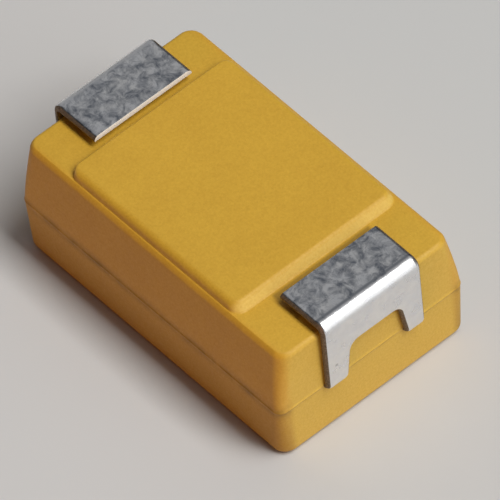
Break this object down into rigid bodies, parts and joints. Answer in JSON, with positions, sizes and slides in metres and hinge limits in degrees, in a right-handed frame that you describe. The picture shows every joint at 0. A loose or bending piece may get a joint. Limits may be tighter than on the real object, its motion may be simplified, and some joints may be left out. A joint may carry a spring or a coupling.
{
  "type": "moulded tantalum chip capacitor",
  "caption": "Moulded tantalum chip capacitor with folded tinned terminals, a forked anode leg and a raised glue pad between the solder feet.",
  "frame": {"origin": "centre of the marking face, which the part lies on with its solder feet up; half a turn about X or Y brings the feet down onto a board", "axes": "+Z out of the solder side, +X towards the anode end with the forked terminal, Y across the case"},
  "size_m": [0.0074, 0.0044, 0.0029],
  "materials": {
    "epoxy": "matte, fine grained",
    "tinned_strip": "matte tin plating",
    "sintered_tantalum": "sintered",
    "tantalum_wire": "drawn",
    "washer_plastic": "satin",
    "manganese_dioxide": "matte",
    "graphite": "matte",
    "silver_paint": "matte",
    "silver_glue": "matte"
  },
  "bodies": {
    "root": {"moulded_case": "epoxy", "anode_terminal": "tinned_strip", "cathode_terminal": "tinned_strip", "tantalum_pellet": "sintered_tantalum", "anode_wire": "tantalum_wire", "insulating_washer": "washer_plastic", "manganese_dioxide_layer": "manganese_dioxide", "graphite_layer": "graphite", "silver_coat": "silver_paint", "silver_adhesive": "silver_glue"}
  },
  "joints": []
}
